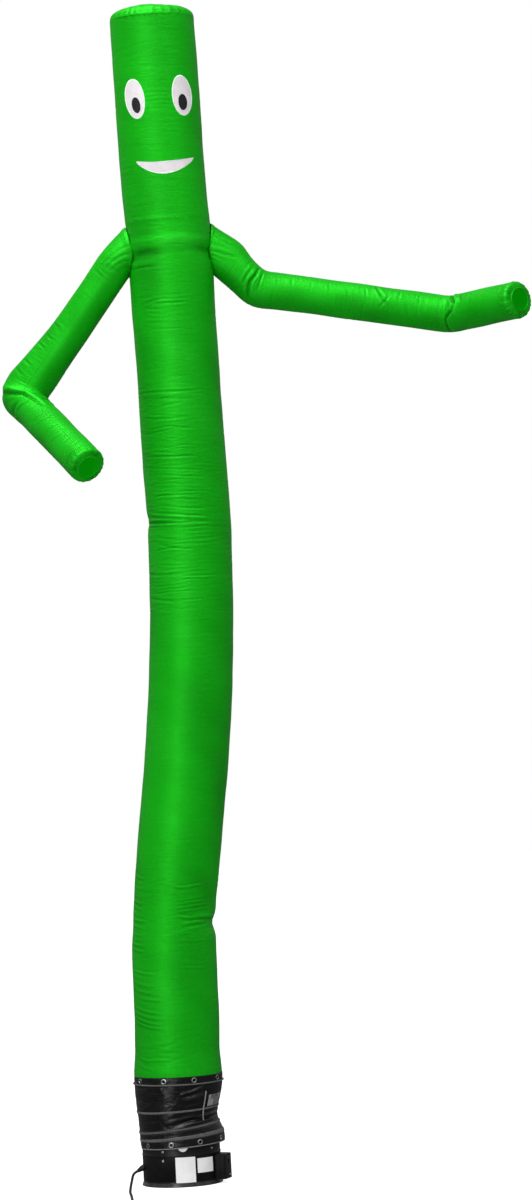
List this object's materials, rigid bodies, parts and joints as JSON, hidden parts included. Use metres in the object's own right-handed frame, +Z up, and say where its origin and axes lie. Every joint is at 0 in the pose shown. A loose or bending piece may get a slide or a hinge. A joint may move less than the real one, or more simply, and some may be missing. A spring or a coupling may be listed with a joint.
{
  "type": "inflatable air dancer with blower",
  "caption": "Tall green blown-up tube figure with a smiling face and two bent arms, held by a black sleeve on a floor-standing blower.",
  "frame": {"origin": "the blower's axis on the floor, in the middle of the flat guard that it stands on", "axes": "+Z up the figure, +X to the figure's left arm as a viewer sees it on the right, the face looks to -Y"},
  "size_m": [2.8336, 1.3697, 6.3267],
  "materials": {
    "green_nylon": "smooth ripstop nylon, slightly glossy",
    "white_nylon": "sewn-on matt nylon",
    "black_nylon": "sewn-on matt nylon",
    "black_vinyl": "glossy coated vinyl",
    "black_webbing": "woven binding",
    "grommet_steel": "rolled nickel-plated steel",
    "blower_plastic": "moulded, lightly grained",
    "bare_label": "plain, satin",
    "cord_rubber": "matt rubber",
    "motor_iron": "painted"
  },
  "bodies": {
    "root": {"trunk": "green_nylon", "head": "green_nylon", "head_cap": "green_nylon", "arm_left": "green_nylon", "arm_right": "green_nylon", "hand_left": "green_nylon", "hand_right": "green_nylon", "eye_left": "white_nylon", "eye_right": "white_nylon", "mouth": "white_nylon", "pupil_left": "black_nylon", "pupil_right": "black_nylon", "sleeve": "black_vinyl", "collar_band": "black_vinyl", "hem_band": "black_vinyl", "webbing_band": "black_webbing", "lower_binding": "black_webbing", "middle_binding": "black_webbing", "collar_piping": "black_webbing", "side_piping": "black_webbing", "cord_tie": "black_webbing", "collar_band_ring_1": "grommet_steel", "hem_band_ring_1": "grommet_steel", "collar_band_ring_2": "grommet_steel", "hem_band_ring_2": "grommet_steel", "collar_band_ring_3": "grommet_steel", "hem_band_ring_3": "grommet_steel", "collar_band_ring_4": "grommet_steel", "hem_band_ring_4": "grommet_steel", "collar_band_ring_5": "grommet_steel", "hem_band_ring_5": "grommet_steel", "collar_band_ring_6": "grommet_steel", "hem_band_ring_6": "grommet_steel", "collar_band_ring_7": "grommet_steel", "hem_band_ring_7": "grommet_steel", "collar_band_ring_8": "grommet_steel", "hem_band_ring_8": "grommet_steel", "collar_band_ring_9": "grommet_steel", "hem_band_ring_9": "grommet_steel", "screw_1": "grommet_steel", "screw_2": "grommet_steel", "screw_3": "grommet_steel", "screw_4": "grommet_steel", "blower_base": "blower_plastic", "blower_barrel": "blower_plastic", "blower_guard": "blower_plastic", "control_box": "blower_plastic", "label_large": "bare_label", "label_small": "bare_label", "round_sticker": "bare_label", "side_patch": "bare_label", "power_cord": "cord_rubber", "cord_tail": "cord_rubber", "cord_coil": "cord_rubber", "cord_gland": "cord_rubber", "plug": "cord_rubber", "motor": "motor_iron"}
  },
  "joints": []
}
